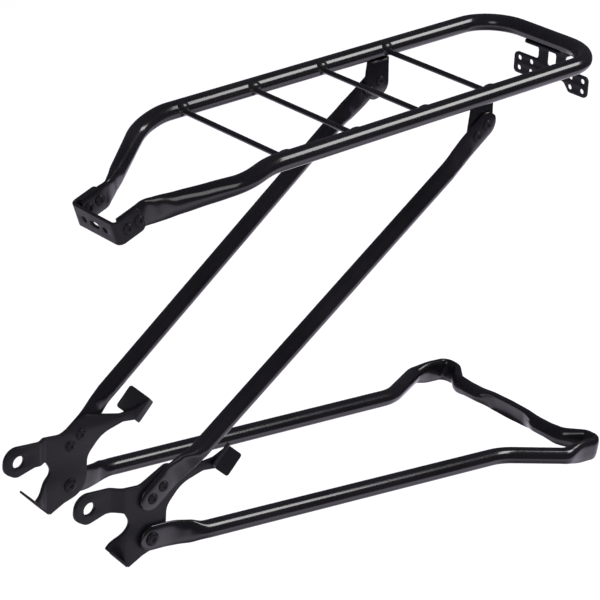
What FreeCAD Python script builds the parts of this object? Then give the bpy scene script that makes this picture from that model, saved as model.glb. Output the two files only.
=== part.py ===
import FreeCAD, Part
import math
import os

# Bicycle rear carrier with a swing-down two-legged stand, in millimetres.
# +X points to the rear of the bicycle, +Y to its right, +Z up.
# The origin lies on the wheel axle, midway between the two axle ears.

os.makedirs("parts", exist_ok=True)
Vector = FreeCAD.Vector
doc = FreeCAD.newDocument("rear_carrier")

# ---------------------------------------------------------------- driving sizes
SIZES = {
    # tube and wire stock
    "tube_dia": 16, "tube_wall": 1.5, "wire_dia": 5, "sheet_gauge": 4, "bracket_gauge": 3,
    "lamp_gauge": 2.5,
    # platform
    "rail_half_width": 70, "rail_height": 270, "rear_tube_x": 580, "corner_radius": 40,
    "first_wire_x": 191, "wire_pitch": 81, "front_slope": 19.2,
    "flat_height": 24, "flat_gauge": 4,
    # front bracket
    "bracket_half_width": 29, "bracket_height": 22, "bracket_leg": 28.8, "bracket_bend": 6,
    "bracket_x": 45.5, "bracket_z": 226.9, "bracket_hole_dia": 5.5, "bracket_hole_pitch": 13.5,
    "bracket_slot_length": 11, "bracket_rivet_pitch": 12, "bracket_rivet_first": 12,
    # axle plates
    "plate_half_gap": 52.5, "ear_inset": 5.7, "axle_hole_dia": 12, "pivot_x": 58.9, "pivot_z": -47,
    # struts
    "strut_foot_x": 65, "strut_foot_z": -3.8, "strut_head_x": 422.5, "strut_head_z": 237.8,
    "strut_rivet_pitch": 14, "strut_end_width": 24, "tab_inner_y": 64,
    # stand
    "stand_slope": 8.8, "leg_y_front": 67.5, "leg_y_rear": 75, "foot_y": 105.5, "foot_height": 24,
    "foot_gauge": 8, "stand_gap": 0.3, "pivot_hole_dia": 8.1, "bar_u": 519,
    # rivets
    "pivot_pin_dia": 8, "rivet_dia": 6, "rivet_head_dia": 10, "rivet_head": 2,
    "pivot_head_dia": 13, "rivet_dimple": 3.6,
    # rear lamp bracket
    "lamp_x": 592.5, "lamp_tab_half": 46.5, "lamp_tab_low": 219, "lamp_tab_top": 240,
    "lamp_web_half": 16.5, "lamp_hole_dia": 5.2, "lamp_outer_pitch": 80, "lamp_inner_pitch": 50,
    "lamp_row_top": 234.5, "lamp_row_step": 10, "lamp_flange_half": 22, "lamp_flange_reach": 7,
    "lamp_window_width": 11, "lamp_window_height": 15, "lamp_window_z": 237,
}

sheet = doc.addObject("Spreadsheet::Sheet", "sizes")
for row, (alias, number) in enumerate(SIZES.items(), start=1):
    sheet.set("A%d" % row, alias)
    sheet.set("B%d" % row, str(number))
    sheet.setAlias("B%d" % row, alias)
doc.recompute()


def size(alias):
    """Read one driving size from the sheet."""
    return float(sheet.get(alias))


def bind(thing, prop, expression):
    """Tie a property to the sheet: words in braces are aliases."""
    thing.setExpression(prop, expression.replace("{", "sizes.").replace("}", ""))


SIDES = {"left": -1, "right": 1}
TUBE_R = size("tube_dia") / 2
BORE_R = TUBE_R - size("tube_wall")
RAIL_Y = size("rail_half_width")
RAIL_Z = size("rail_height")
PLATE_IN = size("plate_half_gap")
PLATE_OUT = PLATE_IN + size("sheet_gauge")


# ---------------------------------------------------------------- outlines and paths
def rounded(points, closed=True):
    """Lines and tangent arcs through (x, y, corner radius) or (x, y, z, radius) points."""
    corners = [Vector(*p[:-1]) for p in points]
    radii = [p[-1] for p in points]
    count = len(corners)
    pieces = []
    starts = []
    ends = []
    for i, corner in enumerate(corners):
        before = corners[i - 1] - corner
        after = corners[(i + 1) % count] - corner
        inner = closed or 0 < i < count - 1
        if not inner or radii[i] == 0:
            starts.append(corner)
            ends.append(corner)
            pieces.append(None)
            continue
        half = before.getAngle(after) / 2
        reach = radii[i] / math.tan(half)
        first = corner + before.normalize() * reach
        last = corner + after.normalize() * reach
        bisector = (before + after).normalize()
        centre = corner + bisector * (radii[i] / math.sin(half))
        middle = centre - bisector * radii[i]
        starts.append(first)
        ends.append(last)
        pieces.append(Part.Arc(first, middle, last))
    outline = []
    for i in range(count):
        if pieces[i] is not None:
            outline.append(pieces[i])
        if closed or i < count - 1:
            target = starts[(i + 1) % count]
            if (target - ends[i]).Length > 1e-6:
                outline.append(Part.LineSegment(ends[i], target))
    return outline


def wire_of(pieces):
    return Part.Wire([piece.toShape() for piece in pieces])


def oval(centre, along, upright, width, height):
    """Ellipse wire, width across and height upright, square to the direction along."""
    across = upright.cross(along).normalize()
    if height >= width:
        major, minor, major_dir = height / 2, width / 2, upright
    else:
        major, minor, major_dir = width / 2, height / 2, across
    if major - minor < 1e-6:
        return Part.Wire([Part.Circle(centre, along, major).toShape()])
    minor_dir = along.cross(major_dir).normalize()
    ellipse = Part.Ellipse(centre + major_dir * major, centre + minor_dir * minor, centre)
    return Part.Wire([ellipse.toShape()])


def pipe(path, section):
    """Solid swept along a wire of lines and tangent arcs."""
    return path.makePipeShell([section], True, False)


def hollow_tube(points):
    """Round tube of the common size along rounded 3-D points."""
    path = wire_of(rounded(points, closed=False))
    start = Vector(*points[0][:3])
    along = Vector(*points[1][:3]) - start
    outer = pipe(path, Part.Wire([Part.Circle(start, along, TUBE_R).toShape()]))
    bore = pipe(path, Part.Wire([Part.Circle(start, along, BORE_R).toShape()]))
    return outer.cut(bore)


def slab(points, thickness, direction):
    """Flat outline of rounded 3-D points, thickened along a direction."""
    face = Part.Face(wire_of(rounded(points)))
    return face.extrude(Vector(direction).normalize() * thickness)


def drill(centre, direction, diameter, length):
    """Cylinder centred on a point, to cut a hole."""
    axis = Vector(direction).normalize()
    return Part.makeCylinder(diameter / 2, length, centre - axis * (length / 2), axis)


# ---------------------------------------------------------------- document helpers
def feature(label, shape):
    """A Part::Feature for a bent or flattened tube."""
    thing = doc.addObject("Part::Feature", label)
    thing.Shape = shape
    thing.Placement = FreeCAD.Placement()
    thing.Label = label
    return thing


def plane_of(body, role):
    return next(f for f in body.Origin.OriginFeatures if f.Role == role)


def padded_body(name, role, outline, length, placement=None, holes=()):
    """Body with one sketched outline and its holes, padded evenly to both sides of its plane."""
    body = doc.addObject("PartDesign::Body", name)
    sketch = body.newObject("Sketcher::SketchObject", name + "_outline")
    sketch.AttachmentSupport = (plane_of(body, role), [""])
    sketch.MapMode = "FlatFace"
    sketch.addGeometry(rounded(outline), False)
    for x, y, diameter in holes:
        circle = Part.Circle(Vector(x, y, 0), Vector(0, 0, 1), diameter / 2)
        sketch.addGeometry(circle, False)
    pad = body.newObject("PartDesign::Pad", name + "_pad")
    pad.Profile = sketch
    pad.Midplane = True
    bind(pad, "Length", length)
    if placement is not None:
        body.Placement = placement
    return body


def cylinder(name, radius, height, base, direction):
    """Bound Part::Cylinder starting at a point and running along a direction."""
    thing = doc.addObject("Part::Cylinder", name)
    bind(thing, "Radius", radius)
    bind(thing, "Height", height)
    turn = FreeCAD.Rotation(Vector(0, 0, 1), Vector(direction))
    thing.Placement = FreeCAD.Placement(base, turn)
    return thing


def combined(kind, name, *parts):
    """Part::MultiFuse, Part::Compound or Part::Cut of other objects."""
    thing = doc.addObject("Part::" + kind, name)
    if kind == "Cut":
        thing.Base, thing.Tool = parts
    elif kind == "MultiFuse":
        thing.Shapes = list(parts)
    else:
        thing.Links = list(parts)
    thing.Label = name
    return thing


def mirrored(name, source):
    """The other side's copy of a right-hand part."""
    thing = doc.addObject("Part::Mirroring", name)
    thing.Source = source
    thing.Base = Vector(0, 0, 0)
    thing.Normal = Vector(0, 1, 0)
    thing.Label = name
    return thing


nodes = {}


def keep(label, thing):
    thing.Label = label
    nodes[label] = thing


# ---------------------------------------------------------------- platform hoop
# One tube: two rails, rounded rear corners, and front runs that slope down and inwards
# to ends pressed flat inside the front bracket.
SLOPE = math.radians(size("front_slope"))
DOWN = Vector(-math.cos(SLOPE), 0, -math.sin(SLOPE))
FLAT_UP = Vector(-math.sin(SLOPE), 0, math.cos(SLOPE))
FLAT_Y = size("bracket_half_width") - size("bracket_gauge") - size("flat_gauge") / 2
PITCH_BEND_X = 170
INWARD_BEND_X = 147
FLAT_BEND_X = 77
FLAT_TIP_X = 52.5
TUBE_END_X = 102
FLAT_START_X = 88


def front_run(x, side):
    """Point on the sloping front run, which is straight between its two bends."""
    height = RAIL_Z - (PITCH_BEND_X - x) * math.tan(SLOPE)
    share = (x - FLAT_BEND_X) / (INWARD_BEND_X - FLAT_BEND_X)
    return Vector(x, side * (FLAT_Y + max(share, 0) * (RAIL_Y - FLAT_Y)), height)


def hoop_end(side):
    """Flattened front end: a taper from round to flat, then an upright strip."""
    gauge = size("flat_gauge")
    tall = size("flat_height")
    rim = front_run(TUBE_END_X, side)
    neck = front_run(FLAT_START_X, side)
    knee = front_run(FLAT_BEND_X, side)
    tip = front_run(FLAT_TIP_X, side)
    along = (neck - rim).normalize()
    taper = Part.makeLoft([oval(rim, along, FLAT_UP, 2 * TUBE_R, 2 * TUBE_R),
                           oval(neck, along, FLAT_UP, gauge, tall)], True)
    path = wire_of(rounded([(*neck, 0), (*knee, 14), (*tip, 0)], closed=False))
    across = along.cross(FLAT_UP).normalize() * (gauge / 2)
    high = FLAT_UP * (tall / 2)
    strip_section = Part.makePolygon([neck + across + high, neck - across + high,
                                      neck - across - high, neck + across - high,
                                      neck + across + high])
    strip = path.makePipeShell([strip_section], True, False)
    return taper.fuse(strip)


def bracket_hole_points(side):
    """Centres of the two rivets that hold a flattened end in the bracket."""
    start = Vector(size("bracket_x"), side * FLAT_Y, size("bracket_z"))
    first = size("bracket_rivet_first")
    step = size("bracket_rivet_pitch")
    return [start - DOWN * (first + i * step) for i in range(2)]


def build_hoop():
    points = []
    for side in (1, -1):
        run = [(*front_run(TUBE_END_X, side), 0),
               (*front_run(INWARD_BEND_X, side), 44),
               (PITCH_BEND_X, side * RAIL_Y, RAIL_Z, 60),
               (size("rear_tube_x"), side * RAIL_Y, RAIL_Z, size("corner_radius"))]
        points += run if side == 1 else run[::-1]
    shape = hollow_tube(points).fuse([hoop_end(1), hoop_end(-1)])
    holes = [drill(p, Vector(0, 1, 0), size("rivet_dia"), 12)
             for side in (1, -1) for p in bracket_hole_points(side)]
    return shape.cut(holes).removeSplitter()


keep("platform_hoop", feature("platform_hoop", build_hoop()))

# ---------------------------------------------------------------- cross wires
for i in range(4):
    name = "cross_wire_%d" % (i + 1)
    wire = cylinder(name, "{wire_dia} / 2", "2 * {rail_half_width} - {tube_dia}",
                    Vector(0, 0, 0), Vector(0, 1, 0))
    bind(wire, "Placement.Base.x", "{first_wire_x} + %d * {wire_pitch}" % i)
    bind(wire, "Placement.Base.y", "{tube_dia} / 2 - {rail_half_width}")
    bind(wire, "Placement.Base.z", "{rail_height}")
    keep(name, wire)

# ---------------------------------------------------------------- front bracket
# A U of strip, open to the rear and sloped with the hoop's front runs.
leg = size("bracket_leg")
wide = size("bracket_half_width")
bend = size("bracket_bend")
gauge = size("bracket_gauge")
U_OUTLINE = [(0, -wide, bend), (leg, -wide, 0), (leg, gauge - wide, 0),
             (gauge, gauge - wide, bend - gauge), (gauge, wide - gauge, bend - gauge),
             (leg, wide - gauge, 0), (leg, wide, 0), (0, wide, bend)]
bracket_tilt = FreeCAD.Rotation(Vector(0, 1, 0), -size("front_slope"))
bracket_place = FreeCAD.Placement(Vector(size("bracket_x"), 0, size("bracket_z")), bracket_tilt)
bracket_strip = padded_body("bracket_strip", "XY_Plane", [(x, y, 0, r) for x, y, r in U_OUTLINE],
                            "{bracket_height}", bracket_place)


def on_bracket(x, y, z):
    return bracket_place.multVec(Vector(x, y, z))


face_axis = bracket_tilt.multVec(Vector(1, 0, 0))
drills = []
for i, share in enumerate((-1, 1)):
    drills.append(cylinder("bracket_face_drill_%d" % i, "{bracket_hole_dia} / 2",
                           "4 * {bracket_gauge}",
                           on_bracket(-4, share * size("bracket_hole_pitch"), 0), face_axis))
slot_reach = (size("bracket_slot_length") - size("bracket_hole_dia")) / 2
slot = doc.addObject("Part::Box", "bracket_slot_middle")
bind(slot, "Length", "4 * {bracket_gauge}")
bind(slot, "Width", "{bracket_slot_length} - {bracket_hole_dia}")
bind(slot, "Height", "{bracket_hole_dia}")
slot.Placement = FreeCAD.Placement(on_bracket(-4, -slot_reach, -size("bracket_hole_dia") / 2),
                                   bracket_tilt)
drills.append(slot)
for i, share in enumerate((-1, 1)):
    drills.append(cylinder("bracket_slot_end_%d" % i, "{bracket_hole_dia} / 2",
                           "4 * {bracket_gauge}", on_bracket(-4, share * slot_reach, 0),
                           face_axis))
for side_name, side in SIDES.items():
    for i, point in enumerate(bracket_hole_points(side)):
        drills.append(cylinder("bracket_%s_drill_%d" % (side_name, i), "{rivet_dia} / 2",
                               "6 * {bracket_gauge}",
                               point - Vector(0, 3 * gauge, 0), Vector(0, 1, 0)))
keep("front_bracket", combined("Cut", "front_bracket", bracket_strip,
                               combined("MultiFuse", "bracket_drills", *drills)))

# ---------------------------------------------------------------- axle plates
# Bent sheet: a top-view strip with the inset ear, trimmed by the side-view outline.
INSET = size("ear_inset")
GAUGE = size("sheet_gauge")
STRIP = [(-20, PLATE_IN - INSET, 0), (23, PLATE_IN - INSET, 6), (33, PLATE_IN, 6),
         (160, PLATE_IN, 0), (160, PLATE_OUT, 0), (32, PLATE_OUT, 10),
         (22, PLATE_OUT - INSET, 2), (-20, PLATE_OUT - INSET, 0)]
SIDE_OUTLINE = [(-14, 13, 12.5), (-2, 14.8, 11), (22, 11, 20), (50, 6, 12), (77, 17, 8), (116, 4, 14),
                (131, 3.5, 5), (148.5, 9, 0.5), (132, -7, 0.5), (118, -4, 12), (94, -8, 28),
                (78, -24, 14), (77, -58, 20), (52, -63, 14), (37, -69, 1), (18, -47, 1.5), (40, -27, 8),
                (33, -14, 8), (17, -11, 12), (-3, -14.8, 10.5), (-15.5, -6, 10.5)]
plate_strip = padded_body("plate_strip", "XY_Plane", [(x, y, 0, r) for x, y, r in STRIP], "200")
plate_side = padded_body("plate_side", "XZ_Plane", [(x, z, 0, r) for x, z, r in SIDE_OUTLINE],
                         "200", holes=[(0, 0, size("axle_hole_dia"))])
plate_sheet = doc.addObject("Part::MultiCommon", "plate_sheet")
plate_sheet.Shapes = [plate_strip, plate_side]

# Flanges bent outwards: the two rear faces stop the folded stand, the lower lip the lowered one.
MID = PLATE_IN + GAUGE / 2


def flange(name, foot_a, foot_b, reach, gauge, corner):
    """Flat sheared flange standing on the line between two places in the plate."""
    low = Vector(foot_a[0], MID, foot_a[1])
    high = Vector(foot_b[0], MID, foot_b[1])
    normal = (high - low).cross(reach).normalize()
    outline = [(*low, 0), (*high, 0), (*(high + reach), corner), (*(low + reach), corner)]
    shape = slab(outline, gauge, normal)
    shape.translate(normal * (-gauge / 2))
    return feature(name, shape)


stop_upper = flange("stop_upper", (131.7, -5.9), (147, 8.9), Vector(-11, 12, 12), 3, 2.5)
stop_lower = flange("stop_lower", (131.9, -6.6), (147.7, 8.6), Vector(9.3, 6.3, -9.5), 3, 2.5)
low_stop = flange("low_stop", (18, -47), (37, -69), Vector(-6.8, 9.2, 7.8), 2, 1)
plate_body = combined("MultiFuse", "plate_body", plate_sheet, stop_upper, stop_lower,
                      low_stop)


def strut_point(distance, from_head=False):
    """Point on a strut's side-view axis, measured from its foot or head rivets' middle."""
    foot = Vector(size("strut_foot_x"), 0, size("strut_foot_z"))
    head = Vector(size("strut_head_x"), 0, size("strut_head_z"))
    along = (head - foot).normalize()
    return (head if from_head else foot) + along * distance


half_pitch = size("strut_rivet_pitch") / 2
foot_rivets = [strut_point(-half_pitch), strut_point(half_pitch)]
head_rivets = [strut_point(-half_pitch, True), strut_point(half_pitch, True)]
pivot = Vector(size("pivot_x"), 0, size("pivot_z"))
plate_drills = [cylinder("plate_drill_%d" % i, "{rivet_dia} / 2", "4 * {sheet_gauge}",
                         p + Vector(0, PLATE_IN - GAUGE, 0), Vector(0, 1, 0))
                for i, p in enumerate(foot_rivets)]
plate_drills.append(cylinder("plate_drill_pivot", "{pivot_pin_dia} / 2", "4 * {sheet_gauge}",
                             pivot + Vector(0, PLATE_IN - GAUGE, 0), Vector(0, 1, 0)))
plate_right = combined("Cut", "axle_plate_right", plate_body,
                       combined("MultiFuse", "plate_drills", *plate_drills))
keep("axle_plate_right", plate_right)
keep("axle_plate_left", mirrored("axle_plate_left", plate_right))

# ---------------------------------------------------------------- strut tabs under the rails
TAB_IN = size("tab_inner_y")
TAB_X = 395
TAB_LENGTH = 60
TAB_OUTLINE = [(413.5, RAIL_Z, 0), (438.5, RAIL_Z, 0), (440, 231, 12), (419, 220.5, 12),
               (410, 235, 12)]
tab_blank = padded_body("tab_blank", "XZ_Plane", [(x, z, 0, r) for x, z, r in TAB_OUTLINE],
                        "{sheet_gauge}",
                        FreeCAD.Placement(Vector(0, TAB_IN + GAUGE / 2, 0), FreeCAD.Rotation()))
tab_cuts = [cylinder("tab_rail_cut", "{tube_dia} / 2", "%d" % TAB_LENGTH,
                     Vector(TAB_X, RAIL_Y, RAIL_Z), Vector(1, 0, 0))]
tab_cuts += [cylinder("tab_drill_%d" % i, "{rivet_dia} / 2", "4 * {sheet_gauge}",
                      p + Vector(0, TAB_IN - GAUGE, 0), Vector(0, 1, 0))
             for i, p in enumerate(head_rivets)]
tab_top = doc.addObject("Part::Box", "tab_top_cut")
tab_top.Length = TAB_LENGTH
bind(tab_top, "Width", "5 * {sheet_gauge}")
bind(tab_top, "Height", "{tube_dia}")
tab_top.Placement = FreeCAD.Placement(Vector(TAB_X, TAB_IN - GAUGE, RAIL_Z - 2),
                                      FreeCAD.Rotation())
tab_cuts.append(tab_top)
tab_right = combined("Cut", "strut_tab_right", tab_blank,
                     combined("MultiFuse", "tab_cutters", *tab_cuts))
keep("strut_tab_right", tab_right)
keep("strut_tab_left", mirrored("strut_tab_left", tab_right))


# ---------------------------------------------------------------- struts
FOOT_LEAN = 6.1
HEAD_LEAN = 2
FOOT_ROUND = 48
FOOT_FLAT = 28
HEAD_ROUND = -44
HEAD_FLAT = -26


def strut_end(level, from_head, rim, along, square):
    """Taper from the round tube to a flat round-ended tongue with two rivet holes."""
    gauge = size("flat_gauge")
    half = size("strut_end_width") / 2
    way = 1 if from_head else -1
    rise = (strut_point(1) - strut_point(0)) * way
    neck = strut_point(HEAD_FLAT if from_head else FOOT_FLAT, from_head) + Vector(0, level, 0)
    taper = Part.makeLoft([oval(rim, along, square, 2 * TUBE_R, 2 * TUBE_R),
                           oval(neck, rise * way, square, gauge, 2 * half)], True)
    tip = neck + rise * (abs(HEAD_FLAT if from_head else FOOT_FLAT) + half_pitch + half)
    low = Vector(0, -gauge / 2, 0)
    tongue = slab([(*(neck + square * half + low), 0), (*(neck - square * half + low), 0),
                   (*(tip - square * half + low), half - 0.5),
                   (*(tip + square * half + low), half - 0.5)], gauge, Vector(0, 1, 0))
    holes = [drill(p + Vector(0, level, 0), Vector(0, 1, 0), size("rivet_dia"), 4 * gauge)
             for p in (head_rivets if from_head else foot_rivets)]
    return [taper, tongue], holes


def build_strut(side):
    """Round tube pressed flat at both ends, riveted outside the plate and outside the tab."""
    half = size("flat_gauge") / 2
    foot_y = side * (PLATE_OUT + half)
    head_y = side * (TAB_IN + GAUGE + half)
    start = strut_point(FOOT_ROUND) + Vector(0, foot_y + side * FOOT_LEAN, 0)
    end = strut_point(HEAD_ROUND, True) + Vector(0, head_y + side * HEAD_LEAN, 0)
    along = (end - start).normalize()
    square = (strut_point(1) - strut_point(0)).cross(Vector(0, 1, 0))
    foot, foot_holes = strut_end(foot_y, False, start, along, square)
    head, head_holes = strut_end(head_y, True, end, along, square)
    solid = hollow_tube([(*start, 0), (*end, 0)]).fuse(foot + head)
    return solid.cut(foot_holes + head_holes).removeSplitter()


for side_name, side in SIDES.items():
    label = "strut_" + side_name
    keep(label, feature(label, build_strut(side)))

# ---------------------------------------------------------------- stand
# One tube in the plane that slopes from the pivots: u runs rearwards from the pivot.
LEAN = math.radians(size("stand_slope"))
REAR = Vector(math.cos(LEAN), 0, -math.sin(LEAN))
STAND_UP = Vector(math.sin(LEAN), 0, math.cos(LEAN))
EYE_Y = PLATE_OUT + size("stand_gap") + size("flat_gauge") / 2
EYE_WIDTH = 24
EYE_FLAT_U = 24
LEG_START_U = 50
LEG_BEND_U = 426
FOOT_BEND_U = 488
FOOT_ROUND_U = 496
FOOT_PRESS_U = 512
TIP_U = 536
BAR_U = size("bar_u")
BAR_BEND_Y = 70
BAR_PRESS_Y = 60
BAR_ROUND_Y = 46
FOLD_WIDTH = 17
FOLD_RADIUS = 8.3


def on_stand(u, y):
    return pivot + REAR * u + Vector(0, y, 0)


def build_stand_half(side):
    """Flat eye, leg, outward bend, foot pressed tall and folded back, and half the bar."""
    gauge = size("flat_gauge")
    tall = size("foot_height")
    thick = size("foot_gauge")
    foot_y = size("foot_y")
    eye_end = on_stand(EYE_FLAT_U, side * EYE_Y)
    leg_start = on_stand(LEG_START_U, side * size("leg_y_front"))
    leg_bend = on_stand(LEG_BEND_U, side * size("leg_y_rear"))
    foot_bend = on_stand(FOOT_BEND_U, side * foot_y)
    leg_end = on_stand(FOOT_ROUND_U, side * foot_y)
    press = on_stand(FOOT_PRESS_U, side * foot_y)
    along = (leg_bend - leg_start).normalize()
    inward = Vector(0, -side, 0)
    half = STAND_UP * (EYE_WIDTH / 2)
    low = Vector(0, -gauge / 2, 0)
    tip = on_stand(-EYE_WIDTH / 2, side * EYE_Y)
    eye = slab([(*(eye_end + half + low), 0), (*(eye_end - half + low), 0),
                (*(tip - half + low), 11.5), (*(tip + half + low), 11.5)], gauge, Vector(0, 1, 0))
    eye_taper = Part.makeLoft([oval(eye_end, REAR, STAND_UP, gauge, EYE_WIDTH),
                               oval(leg_start, along, STAND_UP, 2 * TUBE_R, 2 * TUBE_R)], True)
    leg = hollow_tube([(*leg_start, 0), (*leg_bend, 60), (*foot_bend, 14), (*leg_end, 0)])
    foot_taper = Part.makeLoft([oval(leg_end, REAR, STAND_UP, 2 * TUBE_R, 2 * TUBE_R),
                                oval(press, REAR, STAND_UP, thick, tall)], True)
    fold = [(*press, 0), (*on_stand(TIP_U, side * foot_y), FOLD_RADIUS),
            (*on_stand(TIP_U, side * (foot_y - FOLD_WIDTH)), FOLD_RADIUS),
            (*on_stand(BAR_U, side * BAR_BEND_Y), 14), (*on_stand(BAR_U, side * BAR_PRESS_Y), 0)]
    foot = pipe(wire_of(rounded(fold, closed=False)), oval(press, REAR, STAND_UP, thick, tall))
    bar_taper = Part.makeLoft([oval(on_stand(BAR_U, side * BAR_PRESS_Y), inward, STAND_UP, thick, tall),
                               oval(on_stand(BAR_U, side * BAR_ROUND_Y), inward, STAND_UP,
                                    2 * TUBE_R, 2 * TUBE_R)], True)
    bar = hollow_tube([(*on_stand(BAR_U, side * BAR_ROUND_Y), 0), (*on_stand(BAR_U, 0), 0)])
    eye_hole = drill(on_stand(0, side * EYE_Y), Vector(0, 1, 0), size("pivot_hole_dia"), 20)
    return eye.fuse([eye_taper, leg, foot_taper, foot, bar_taper, bar]).cut(eye_hole)


def build_stand():
    half = build_stand_half(-1)
    other = half.mirror(Vector(0, 0, 0), Vector(0, 1, 0))
    return half.fuse(other).removeSplitter()


keep("stand", feature("stand", build_stand()))


# ---------------------------------------------------------------- rivets
def rivet(name, point, side, inner_y, outer_y, shank, head_dia):
    """Tubular rivet along Y: shank, two low heads, and a dimple in each head."""
    out = Vector(0, side, 0)
    length = "%g" % (outer_y - inner_y)
    base = point + out * inner_y
    far_end = point + out * outer_y
    body = [cylinder(name + "_shank", shank + " / 2", length, base, out)]
    for end, start, way in (("in", base, -1), ("out", far_end, 1)):
        head = doc.addObject("Part::Cone", name + "_head_" + end)
        bind(head, "Radius1", head_dia + " / 2")
        bind(head, "Radius2", head_dia + " / 2 - 1.6")
        bind(head, "Height", "{rivet_head}")
        head.Placement = FreeCAD.Placement(start, FreeCAD.Rotation(Vector(0, 0, 1), out * way))
        body.append(head)
    solid = combined("MultiFuse", name + "_blank", *body)
    dimples = []
    for end, start, way in (("in", base, -1), ("out", far_end, 1)):
        mouth = start + out * (way * (size("rivet_head") - 1.5))
        dimples.append(cylinder(name + "_dimple_" + end, "{rivet_dimple} / 2", "3", mouth,
                                out * way))
    return combined("Cut", name, solid, combined("MultiFuse", name + "_dimples", *dimples))


def rivet_pair(label, points, side, inner_y, outer_y):
    rivets = [rivet("%s_%d" % (label, i), p, side, inner_y, outer_y, "{rivet_dia}",
                    "{rivet_head_dia}") for i, p in enumerate(points, start=1)]
    keep(label, combined("Compound", label, *rivets))


STRUT_FACE = PLATE_OUT + size("flat_gauge")
TAB_FACE = TAB_IN + GAUGE + size("flat_gauge")
for side_name, side in SIDES.items():
    rivet_pair("strut_foot_rivets_" + side_name, foot_rivets, side, PLATE_IN, STRUT_FACE)
    rivet_pair("strut_head_rivets_" + side_name, head_rivets, side, TAB_IN, TAB_FACE)
    front_points = [Vector(p.x, 0, p.z) for p in bracket_hole_points(side)]
    rivet_pair("bracket_rivets_" + side_name, front_points, side,
               FLAT_Y - size("flat_gauge") / 2, size("bracket_half_width"))
    label = "stand_pivot_" + side_name
    pin_end = EYE_Y + size("flat_gauge") / 2 + size("stand_gap")
    keep(label, rivet(label, pivot, side, PLATE_IN, pin_end, "{pivot_pin_dia}",
                      "{pivot_head_dia}"))

# ---------------------------------------------------------------- rear lamp bracket
tab_half = size("lamp_tab_half")
web_half = size("lamp_web_half")
low = size("lamp_tab_low")
top = size("lamp_tab_top")
FLANGE_Z = RAIL_Z - TUBE_R
LAMP_OUTLINE = [(-tab_half, low, 4.5), (-24, low, 4), (-17, low + 8.5, 6), (17, low + 8.5, 6),
                (24, low, 4), (tab_half, low, 4.5), (tab_half, top, 4.5), (web_half, top, 4),
                (web_half, 252, 5), (size("lamp_flange_half"), 254, 1.5),
                (size("lamp_flange_half"), FLANGE_Z, 0), (-size("lamp_flange_half"), FLANGE_Z, 0),
                (-size("lamp_flange_half"), 254, 1.5), (-web_half, 252, 5), (-web_half, top, 4),
                (-tab_half, top, 4.5)]
lamp_holes = [(share * size(pitch) / 2, size("lamp_row_top") - row * size("lamp_row_step"),
               size("lamp_hole_dia"))
              for share in (-1, 1) for pitch in ("lamp_outer_pitch", "lamp_inner_pitch")
              for row in (0, 1)]
lamp_plate = padded_body("lamp_plate", "YZ_Plane", [(y, z, 0, r) for y, z, r in LAMP_OUTLINE],
                         "{lamp_gauge}",
                         FreeCAD.Placement(Vector(size("lamp_x"), 0, 0), FreeCAD.Rotation()),
                         holes=lamp_holes)
window = doc.addObject("Part::Box", "lamp_window")
bind(window, "Length", "4 * {lamp_gauge}")
bind(window, "Width", "{lamp_window_width}")
bind(window, "Height", "{lamp_window_height}")
window.Placement = FreeCAD.Placement(
    Vector(size("lamp_x") - 2 * size("lamp_gauge"), -size("lamp_window_width") / 2,
           size("lamp_window_z")), FreeCAD.Rotation())
lamp_web = combined("Cut", "lamp_web", lamp_plate, window)
lip = doc.addObject("Part::Box", "lamp_flange")
bind(lip, "Length", "{lamp_x} - {rear_tube_x} + {lamp_flange_reach}")
bind(lip, "Width", "2 * {lamp_flange_half}")
bind(lip, "Height", "{lamp_gauge}")
lip.Placement = FreeCAD.Placement(
    Vector(size("rear_tube_x") - size("lamp_flange_reach"), -size("lamp_flange_half"),
           FLANGE_Z - size("lamp_gauge")), FreeCAD.Rotation())
keep("lamp_bracket", combined("MultiFuse", "lamp_bracket", lamp_web, lip))

# ---------------------------------------------------------------- check and export
doc.recompute()
for thing in doc.Objects:
    if "Invalid" in thing.State or "Error" in thing.State:
        raise RuntimeError("object failed: " + thing.Name + " " + str(thing.State))
for label, thing in nodes.items():
    shape = thing.Shape
    if shape.isNull() or not shape.isValid():
        raise RuntimeError("bad shape: " + label)
for label, thing in nodes.items():
    thing.Shape.exportStep("parts/" + label + ".step")
    print("%-28s solids %d volume %9.1f" % (label, len(thing.Shape.Solids), thing.Shape.Volume))
print(len(nodes), "nodes")
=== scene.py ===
import math
import random

import bmesh
import bpy
from mathutils import Matrix, Vector


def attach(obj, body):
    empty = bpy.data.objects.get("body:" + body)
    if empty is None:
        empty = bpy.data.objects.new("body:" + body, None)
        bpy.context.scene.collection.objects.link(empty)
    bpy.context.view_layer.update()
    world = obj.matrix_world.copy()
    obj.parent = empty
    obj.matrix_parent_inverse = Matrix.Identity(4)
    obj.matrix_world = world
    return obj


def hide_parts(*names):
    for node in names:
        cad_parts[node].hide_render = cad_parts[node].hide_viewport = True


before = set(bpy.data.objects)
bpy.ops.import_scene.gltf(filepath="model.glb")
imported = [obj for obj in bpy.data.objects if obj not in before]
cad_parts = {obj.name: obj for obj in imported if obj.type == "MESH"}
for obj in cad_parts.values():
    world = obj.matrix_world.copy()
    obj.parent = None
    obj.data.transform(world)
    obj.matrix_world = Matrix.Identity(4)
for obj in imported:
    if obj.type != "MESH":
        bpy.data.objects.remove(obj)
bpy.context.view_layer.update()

# Sizes in millimetres in the part's frame: +X to the bicycle's rear, +Y to its right, +Z up.
MM = 0.001
TUBE_R = 8.0
RAIL_Y = 70.0
RAIL_Z = 270.0
PLATE_MID = 54.5
PLATE_OUT = 56.5
UPRIGHT = Vector((0, 0, 1))
RIVET_SHANK, RIVET_HEAD = 3.0, 5.0
END_ROUND = 12.0
TUBE_FACETS = 48
SIDES = {"left": -1, "right": 1}


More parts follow.
